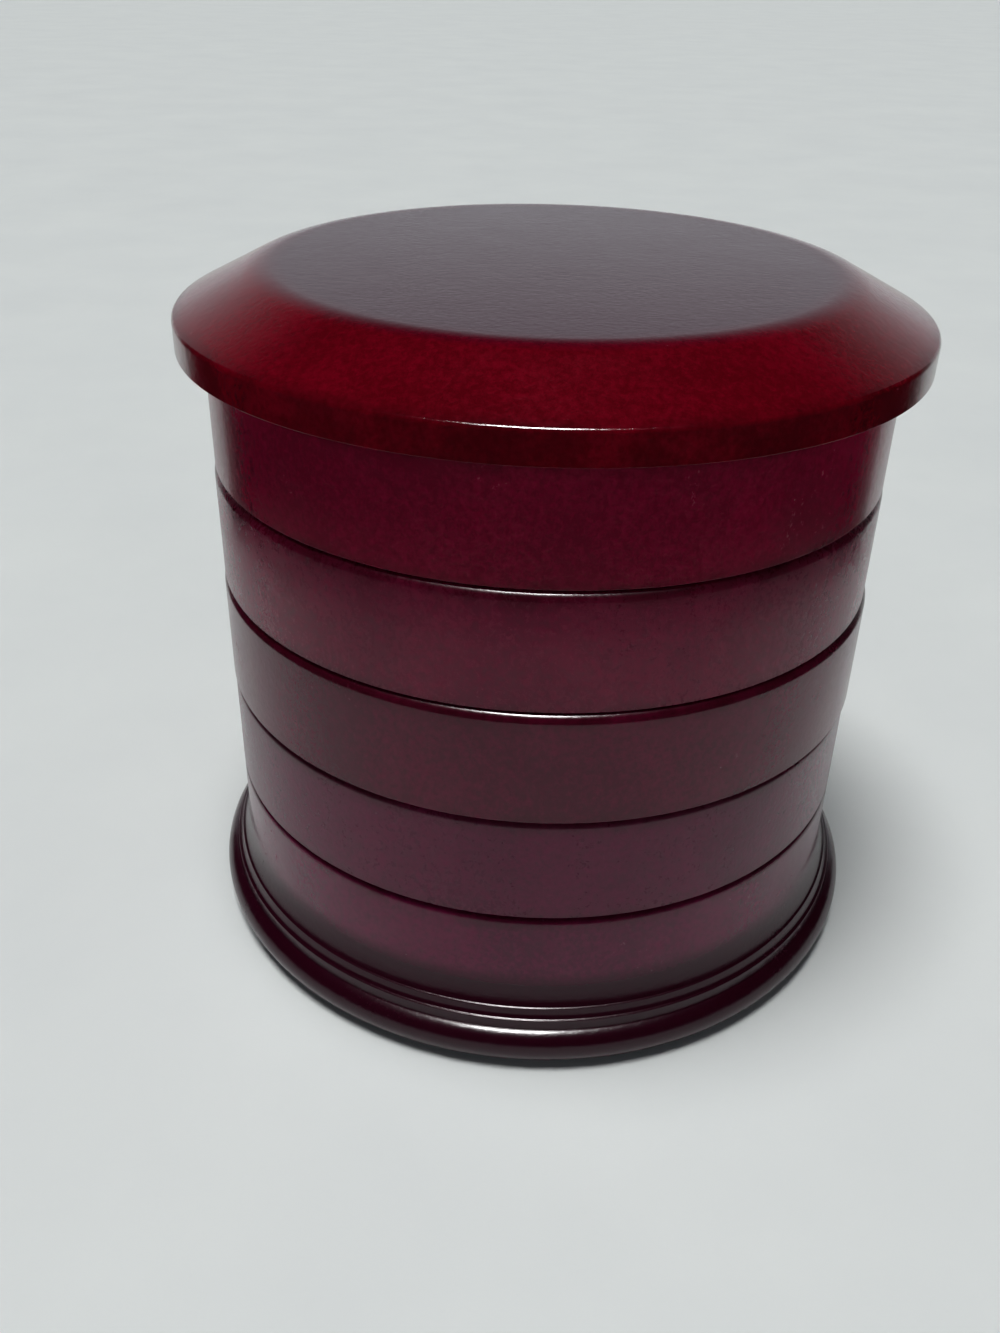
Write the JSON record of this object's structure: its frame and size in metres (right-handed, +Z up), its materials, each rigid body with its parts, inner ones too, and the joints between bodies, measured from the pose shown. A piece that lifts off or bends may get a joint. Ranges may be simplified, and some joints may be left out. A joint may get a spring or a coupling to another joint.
{
  "type": "poker chip carousel",
  "caption": "Round lidded wooden carousel of stacked trays that swing out on one rod, for gaming chips, cards and dice, on a turntable base.",
  "frame": {"origin": "on the surface it stands on, under the middle of the base", "axes": "+Z up, front towards -Y, swing rod at +Y"},
  "size_m": [0.192, 0.192, 0.1833],
  "materials": {
    "burgundy_lacquer": "burgundy stain under satin lacquer",
    "stained_wood": "dark red stain, unpolished",
    "felt": "short black felt",
    "flock": "moulded tray with black flock",
    "brass": "turned brass",
    "steel": "pressed zinc-plated steel",
    "polished_steel": "polished steel",
    "cage_plastic": "natural nylon",
    "rubber": "matt black rubber"
  },
  "bodies": {
    "turntable": {"lower_race_plate": "steel", "rubber_feet": "rubber", "centre_rivet": "steel"},
    "bearing": {"ball_cage": "cage_plastic", "bearing_balls": "polished_steel"},
    "carousel": {"upper_race_plate": "steel", "plate_screws": "steel", "base_foot": "burgundy_lacquer", "base_board": "stained_wood", "base_block": "stained_wood", "base_felt": "felt", "base_insert": "flock", "pivot_rod": "polished_steel", "pivot_rod_nut": "steel", "pivot_washers": "brass", "pivot_cap_nut": "brass"},
    "tray_1": {"tray_1_ring": "burgundy_lacquer", "tray_1_floor": "stained_wood", "tray_1_block": "stained_wood", "tray_1_bush": "brass", "tray_1_felt": "felt", "card_insert": "flock"},
    "tray_2": {"tray_2_ring": "burgundy_lacquer", "tray_2_floor": "stained_wood", "tray_2_block": "stained_wood", "tray_2_bush": "brass", "tray_2_felt": "felt", "tray_2_insert": "flock"},
    "tray_3": {"tray_3_ring": "burgundy_lacquer", "tray_3_floor": "stained_wood", "tray_3_block": "stained_wood", "tray_3_bush": "brass", "tray_3_felt": "felt", "tray_3_insert": "flock"},
    "tray_4": {"tray_4_ring": "burgundy_lacquer", "tray_4_floor": "stained_wood", "tray_4_block": "stained_wood", "tray_4_bush": "brass", "tray_4_felt": "felt", "tray_4_insert": "flock"},
    "lid": {"lid_top": "burgundy_lacquer", "lid_spigot": "stained_wood", "lid_lining": "felt"}
  },
  "joints": [
    {"name": "carousel_spin", "type": "hinge", "parent": "turntable", "child": "carousel", "pos_m": [0, 0, 0.0066], "axis": [0, 0, 1], "continuous": true},
    {"name": "cage_spin", "type": "hinge", "parent": "turntable", "child": "bearing", "pos_m": [0, 0, 0.0066], "axis": [0, 0, 1], "continuous": true},
    {"name": "tray_1_swing", "type": "hinge", "parent": "carousel", "child": "tray_1", "pos_m": [0, 0.0735, 0.1358], "axis": [0, 0, 1], "continuous": true},
    {"name": "tray_2_swing", "type": "hinge", "parent": "carousel", "child": "tray_2", "pos_m": [0, 0.0735, 0.1058], "axis": [0, 0, 1], "continuous": true},
    {"name": "tray_3_swing", "type": "hinge", "parent": "carousel", "child": "tray_3", "pos_m": [0, 0.0735, 0.0758], "axis": [0, 0, 1], "continuous": true},
    {"name": "tray_4_swing", "type": "hinge", "parent": "carousel", "child": "tray_4", "pos_m": [0, 0.0735, 0.0458], "axis": [0, 0, 1], "continuous": true},
    {"name": "lid_lift", "type": "slide", "parent": "tray_1", "child": "lid", "axis": [0, 0, 1], "range_m": [0, 0.06]}
  ],
  "couplings": [
    {"joint": "cage_spin", "follows": "carousel_spin", "ratio": 0.5}
  ]
}
